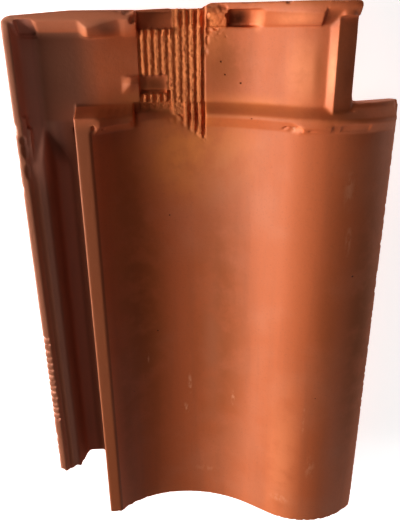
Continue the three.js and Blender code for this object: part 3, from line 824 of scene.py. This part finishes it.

# Patches of another colour: the finish's setting, place, half sizes and strength. Some are painted shade or
# painted highlights, marked below.
PATCHES = [
    ("pale", 190, 374, 16, 36, 0.75),
    ("pale", 190, 60, 20, 120, 0.45),
    ("pale", 150, 322, 26, 26, 0.30),
    ("amber", 116, 320, 60, 54, 0.8),
    ("amber", 96, 352, 60, 14, 0.5),
    ("amber", 66, 240, 14, 110, 0.25),
    ("amber", 150, 352, 56, 10, 0.45),
    ("amber", 136, 392, 14, 26, 0.5),
    ("umber_and_shade", 74, 296, 20, 40, 0.25),
    ("umber_and_shade", 142, 378, 26, 36, 1.0),
    ("umber_and_shade", 206, 343, 12, 7, 0.5),
    ("umber_and_shade", 78, 200, 30, 200, 0.9),
    ("umber_and_shade", 140, 180, 34, 200, 0.66),
    ("umber_and_shade", 216, 190, 18, 180, 0.3),
    # Painted shade: the hollow left of the side rib, which turns from the light.
    ("umber_and_shade", 198, 378, 5, 34, 0.6),
    # Painted shade right of the side rib's lit bar.
    ("dirt_and_shade", 216, 374, 8, 46, 0.35),
    # Painted shadow in the pocket beside the right lug.
    ("dirt_and_shade", 150.5, 406, 9.5, 9, 1.0),
    ("umber_and_shade", 180, 414, 42, 4, 0.7),
    # Painted shade in the nail recess and the low drain gap (this row and the next two).
    ("umber_and_shade", 94, 364, 14, 8, 0.9),
    ("dirt_and_shade", 95, 364, 13, 7, 0.4),
    ("umber_and_shade", 96, 344, 16, 6, 0.5),
    # Painted shade on the trough floor beside the lip.
    ("dirt_and_shade", 36, 362, 24, 34, 0.28),
    ("stain_and_shade", 4, 370, 8, 60, 0.5),
    # Painted shade on the left lug's face, which tilts from the light.
    ("dirt_and_shade", 65, 401, 12.5, 7, 0.85),
    # Painted shade above the side rib's lit bar.
    ("dirt_and_shade", 203, 405, 8, 7, 0.6),
    ("umber_and_shade", 61, 90, 9, 150, 0.5),
    # Painted shade along the roll's right flank.
    ("umber_and_shade", 245, 190, 22, 210, 1.0),
    # Painted highlights on the lit splays of the two lugs (this row and the next).
    ("pale", 51.4, 400, 3.4, 8, 1.0),
    ("pale", 162.4, 404, 4.4, 9, 1.0),
    ("pale", 187.6, 339.6, 3.6, 3.6, 1.0),
    # Painted highlight on the side rib's lit bar.
    ("pale", 205.4, 374, 3.6, 27, 1.0),
    ("bloom_and_light", 140, 300, 26, 36, 0.30),
    ("bloom_and_light", 133, 160, 12, 110, 0.22),
    ("pale", 181, 405, 19, 6, 0.8),
    ("pale", 75.5, 366, 3.5, 8, 0.5),
    ("pale", 53.0, 340, 2.6, 4.2, 1.0),
    ("pale", 186.0, 338.4, 4.0, 3.6, 0.8),
]

# Scuffs, which break up into finer spots than the patches: place, half sizes and strength
SCUFFS = [
    (114.8, 121, 2.4, 13, 0.8),
    (111.6, 96, 3.6, 8, 0.7),
    (150.6, 112, 1.8, 10, 0.7),
    (204.0, 108, 1.6, 18, 0.5),
    (212.0, 60, 6.0, 16, 0.35),
    (223.2, 299, 5.0, 20, 0.32),
    (184.8, 338.6, 1.8, 3.6, 1.0),
    (226.0, 262, 3.0, 16, 0.45),
    (81.0, 150, 1.2, 8, 0.5),
    (190.0, 22, 12, 6, 0.35),
    (128.0, 30, 14, 5, 0.25),
    (27.0, 372, 5, 9, 0.25),
]


def paint_zones(colour, settings, x, y, z):
    """The parts whose colour differs: painted shade in the channel, the trough and on the rib's wall, edge,
    top and back, painted fill light in the shadows under the lip and in the channel, painted light on the
    lip and head, and a darker edge and top of the lip.

    Gives the colour, and how much painted shade each place has.
    """
    # Painted shade: the channel and the trough beside the lip are darkened for the lip's shadow and the
    # shade between lip and rib.
    channel = x.within(10.5, 47.5, 1.6) * z.clear(18.6, 17.4) * y.clear(344, 340)
    trough = x.clear(62, 40) * x.clear(9, 11) * z.clear(6.5, 4.5) * y.clear(334, 338)
    # Painted fill light: the lip's inner wall at the head, in its own shadow, gets a lighter, greyer colour.
    lip_wall = x.clear(22, 15) * x.clear(4.8, 6.0) * z.clear(12.3, 11.6) * y.clear(285, 330)
    # Painted shade on the rib's left wall, which the lip shades.
    rib_wall = channel * x.clear(29, 36)
    painted_shade = channel.maths("MAXIMUM", channel, trough) * settings.painted_shading
    # Painted fill light on the channel's shadowed middle.
    deepest = channel * x.within(22, 32, 2) * y.clear(326, 310)
    # Painted shade on the lit ramp at the channel's mouth.
    mouth = channel * x.clear(24, 29) * y.clear(306, 326)
    lip_edge = x.clear(2.6, 0.9)
    lip_top = x.clear(11, 8)
    # Painted shade on the rib's left edge and its top, which the lip shades from the low light.
    rib_edge = x.within(36, 39, 0.5) * z.clear(16, 17.5) * y.clear(344, 338)
    rib_top = x.within(36.5, 54.8, 0.8) * z.clear(17.6, 18.6) * y.clear(346, 336)
    # Painted shade on the inner rib's back.
    behind_rib = y.within(345, 352, 3.5) * x.clear(50, 58) * x.clear(236, 222)
    # Painted light: the paler tone that light gives the lip's top and the head rib.
    lip = x.clear(13, 11) * z.clear(2, 5)
    head = y.clear(395, 402) * x.clear(84, 80)
    for part, tint in (
        (painted_shade, settings.stain_and_shade),
        (channel * settings.painted_shading, settings.channel_shade),
        (deepest * 0.4, settings.film),
        (rib_wall * 0.3, settings.umber_and_shade),
        (mouth * 0.35, settings.dirt_and_shade),
        (rib_wall * 0.22, settings.dirt_and_shade),
        (lip_edge * 0.5, settings.stain_and_shade),
        (rib_edge * 0.5, settings.stain_and_shade),
        (rib_top * 0.7, settings.umber_and_shade),
        (rib_top * 0.42, settings.stain_and_shade),
        (behind_rib * 0.55, settings.umber_and_shade),
        (lip_top * 0.7, settings.stain_and_shade),
        (lip * 0.45, settings.bloom_and_light),
        (head * 0.45, settings.bloom_and_light),
        (lip_wall, settings.film),
    ):
        colour = colour.mixed(part, tint)
    return colour, painted_shade


def pattern(at, colour, settings):
    """The uneven skin over the whole tile: pale clouds, streaks down the tile and dark speckle."""
    clouds = at.noise(0.05, 4).clear(0.42, 0.72)
    streaks = at.noise(0.014, 3, stretch=(1, 0.08, 1)).clear(0.45, 0.75)
    speckle = at.noise(0.0014, 2).clear(0.55, 0.72)
    colour = colour.mixed(clouds * 0.25, settings.bloom_and_light)
    colour = colour.mixed(streaks * 0.16, settings.stain_and_shade)
    return colour.mixed(speckle * 0.14, settings.stain_and_shade)


def fired_clay(settings):
    """The finish: fired skin, stains and pale bloom, painted shade, fill light and highlights, broken clay
    in the saw cuts, dirt in the pits.
    """
    material = bpy.data.materials.new("Fired clay")
    material.use_nodes = True
    tree = material.node_tree
    tree.nodes.clear()
    base = Shade(tree, None)
    at = base.add("ShaderNodeTexCoord", output=3)

    origin = tuple(place(0, 0, 0))
    from_corner = base.add("ShaderNodeVectorMath", {"operation": "SUBTRACT"}, {0: at, 1: origin})
    in_mm = base.add("ShaderNodeVectorMath", {"operation": "SCALE"}, {0: from_corner, "Scale": 1 / MM})
    axes = tree.nodes.new("ShaderNodeSeparateXYZ")
    tree.links.new(in_mm.socket, axes.inputs[0])
    x, y, z = (Shade(tree, axes.outputs[i]) for i in range(3))

    colour = base.add("ShaderNodeRGB")
    colour.socket.default_value = (*settings.skin, 1)
    colour = pattern(at, colour, settings)

    ragged = at.noise(0.018, 4).clear(0.3, 0.6)
    for name, px, py, rx, ry, strength in PATCHES:
        patch = at.near(px, py, rx, ry) * (ragged * 0.6 + 0.4) * strength
        colour = colour.mixed(patch, getattr(settings, name))
    spots = at.noise(0.0035, 3, stretch=(1, 0.5, 1)).clear(0.42, 0.62)
    for px, py, rx, ry, strength in SCUFFS:
        colour = colour.mixed(at.near(px, py, rx, ry) * spots * strength, settings.chalk)
    colour, painted_shade = paint_zones(colour, settings, x, y, z)

    start = x.maths("MAXIMUM", x - SAW_TURN, 0) * -SAW_SLANT + SAW_START
    strip = x.within(GROUND_LEFT, GROUND_RIGHT, 0.6) * (y - start).clear(-2, 2) * z.clear(-6, -4)
    recess = x.within(84.5, 103.5, 0.8) * y.within(358.5, 371, 0.8)
    head_gap = x.within(84, 108, 1) * y.clear(398.5, 400.5)
    cuts = strip * (head_gap + recess).clear(0.9, 0.1)
    grain = at.noise(0.004, 4, stretch=(1, 0.35, 1))
    colour = colour.mixed(cuts * grain.clear(0.25, 0.5), settings.fresh)
    torn = at.near(133, 404, 6, 14) * grain.clear(0.35, 0.5)
    colour = colour.mixed(torn, settings.fresh)

    pits = None
    for px, py, radius in PITS:
        one = at.near(px, py, radius * 1.3, radius * 1.1)
        pits = one if pits is None else pits + one
    colour = colour.mixed(pits.clear(0.1, 0.8) * 0.8, settings.dirt_and_shade)

    torn_grain = at.noise(0.0016, 4, 0.65, stretch=(1, 0.5, 1))
    fine = at.noise(0.0006, 3, 0.6)
    sandy = at.noise(0.003, 4, 0.6)
    height = fine * FINE_RELIEF + sandy * SANDY_RELIEF - pits * PIT_DEPTH + cuts * torn_grain * TORN_RELIEF
    bump = base.add("ShaderNodeBump", None, {"Strength": 1.0, "Distance": 1.0, "Height": height})
    rough = settings.roughness + (sandy - 0.5) * 0.15 + strip * 0.3 + painted_shade * 0.3

    surface = tree.nodes.new("ShaderNodeBsdfPrincipled")
    surface.inputs["IOR"].default_value = 1.45
    surface.inputs["Specular IOR Level"].default_value = 0.4
    tree.links.new(colour.socket, surface.inputs["Base Color"])
    tree.links.new(rough.socket, surface.inputs["Roughness"])
    tree.links.new(bump.socket, surface.inputs["Normal"])
    out = tree.nodes.new("ShaderNodeOutputMaterial")
    tree.links.new(surface.outputs[0], out.inputs["Surface"])
    return material


# ---- Stage ---------------------------------------------------------------------------------------

# Lights: name, azimuth (0 on the right, 90 at the head), elevation, share of the key's power, and height
LIGHTS = [
    ("Key", 180, 8, 1.0, 0.5),
    ("High left", 180, 26, 0.44, 0.5),
    ("Foot left", 205, 25, 0.31, 0.5),
    ("Low right", 0, 9, 0.15, 0.15),
    ("Head", 110, 25, 0.12, 0.5),
    ("Foot right", 310, 25, 0.13, 0.5),
    ("Overhead", 150, 76, 0.06, 0.5),
]
LIGHT_WIDTH, LIGHT_REACH = 0.5, 1.5  # in metres, as the floor
FLOOR_SIZE = 8

# The camera's place in the tile's mm, and the directions that its picture shows as right and as down
EYE = (101.7, 404.8, 402.4)
SIGHT_RIGHT, SIGHT_DOWN = Vector((0.9981, -0.0099, 0.0609)), Vector((-0.033, -0.9195, 0.3917))
SENSOR = 36


def set_floor(settings):
    """A plain pale floor under the tile that gives off a little light."""
    deselect()
    bpy.ops.mesh.primitive_plane_add(size=FLOOR_SIZE, location=(0, 0, LOW.z))
    floor = bpy.context.object
    floor.name = "Floor"
    material = bpy.data.materials.new("Floor")
    material.use_nodes = True
    surface = material.node_tree.nodes["Principled BSDF"]
    surface.inputs["Base Color"].default_value = (*settings.floor, 1)
    surface.inputs["Roughness"].default_value = 0.9
    surface.inputs["Emission Color"].default_value = (*settings.floor, 1)
    surface.inputs["Emission Strength"].default_value = settings.glow
    floor.data.materials.append(material)


def area_light(name, azimuth, elevation, power, height):
    """A soft light that looks at the middle of the tile."""
    a, e = math.radians(azimuth), math.radians(elevation)
    direction = Vector((math.cos(e) * math.cos(a), math.cos(e) * math.sin(a), math.sin(e)))
    data = bpy.data.lights.new(name, "AREA")
    data.shape = "RECTANGLE"
    data.size = LIGHT_WIDTH
    data.size_y = height
    data.energy = power
    light = bpy.data.objects.new(name, data)
    light.location = direction * LIGHT_REACH
    light.rotation_euler = (-direction).to_track_quat("-Z", "Y").to_euler()
    bpy.context.scene.collection.objects.link(light)


def set_lights(settings):
    """A low key from the lip's side, a higher soft one above it, and faint light from everywhere else."""
    for name, azimuth, elevation, share, height in LIGHTS:
        area_light(name, azimuth, elevation, settings.key * share, height)


def set_camera(settings):
    """The camera stands over the head and looks down towards the foot."""
    forward = SIGHT_RIGHT.cross(SIGHT_DOWN).normalized()
    down = forward.cross(SIGHT_RIGHT).normalized()
    right = SIGHT_RIGHT.normalized()
    data = bpy.data.cameras.new("Camera")
    data.lens = settings.lens
    data.sensor_width = SENSOR
    camera = bpy.data.objects.new("Camera", data)
    turn = Matrix((right, -down, -forward)).transposed()
    camera.matrix_world = Matrix.Translation(place(*EYE)) @ turn.to_4x4()
    bpy.context.scene.collection.objects.link(camera)
    bpy.context.scene.camera = camera


# ---- Operators -----------------------------------------------------------------------------------


class ROOFTILE_OT_tile(bpy.types.Operator):
    """Builds the worn tile over the CAD node and gives it its finish"""

    bl_idname = "rooftile.tile"
    bl_label = "Roof tile"

    def execute(self, context):
        tile = merged_copy(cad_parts["roof_tile"])
        reshape(tile)
        chip(tile)
        shape_skin(tile, context.scene.rooftile_wear)
        if not tile.data.polygons:
            raise RuntimeError("the tile lost its faces")
        tile.data.materials.clear()
        tile.data.materials.append(fired_clay(context.scene.rooftile_clay))
        tile.data.polygons.foreach_set("material_index", [0] * len(tile.data.polygons))
        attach(tile, "root")
        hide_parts("roof_tile")
        return {"FINISHED"}


class ROOFTILE_OT_stage(bpy.types.Operator):
    """Sets the floor, the lights and the camera"""

    bl_idname = "rooftile.stage"
    bl_label = "Stage"

    def execute(self, context):
        settings = context.scene.rooftile_stage
        set_floor(settings)
        set_lights(settings)
        set_camera(settings)
        context.scene.view_settings.view_transform = "Standard"
        context.scene.view_settings.look = "High Contrast"
        return {"FINISHED"}


class ROOFTILE_PT_panel(bpy.types.Panel):
    """Lists the tile's settings and the steps that build it"""

    bl_label = "Roof tile"
    bl_idname = "ROOFTILE_PT_panel"
    bl_space_type = "VIEW_3D"
    bl_region_type = "UI"
    bl_category = "Roof tile"

    def draw(self, context):
        scene = context.scene
        for group in (scene.rooftile_clay, scene.rooftile_wear, scene.rooftile_stage):
            box = self.layout.box()
            for name in group.bl_rna.properties.keys():
                if name not in {"rna_type", "name"}:
                    box.prop(group, name)
        self.layout.operator(ROOFTILE_OT_tile.bl_idname)
        self.layout.operator(ROOFTILE_OT_stage.bl_idname)


CLASSES = (
    ClaySettings,
    WearSettings,
    StageSettings,
    ROOFTILE_OT_tile,
    ROOFTILE_OT_stage,
    ROOFTILE_PT_panel,
)


def register():
    for cls in CLASSES:
        bpy.utils.register_class(cls)
    bpy.types.Scene.rooftile_clay = bpy.props.PointerProperty(type=ClaySettings)
    bpy.types.Scene.rooftile_wear = bpy.props.PointerProperty(type=WearSettings)
    bpy.types.Scene.rooftile_stage = bpy.props.PointerProperty(type=StageSettings)


def unregister():
    del bpy.types.Scene.rooftile_stage
    del bpy.types.Scene.rooftile_wear
    del bpy.types.Scene.rooftile_clay
    for cls in reversed(CLASSES):
        bpy.utils.unregister_class(cls)


def main():
    register()
    bpy.ops.rooftile.tile()
    bpy.ops.rooftile.stage()


if __name__ == "__main__":
    main()
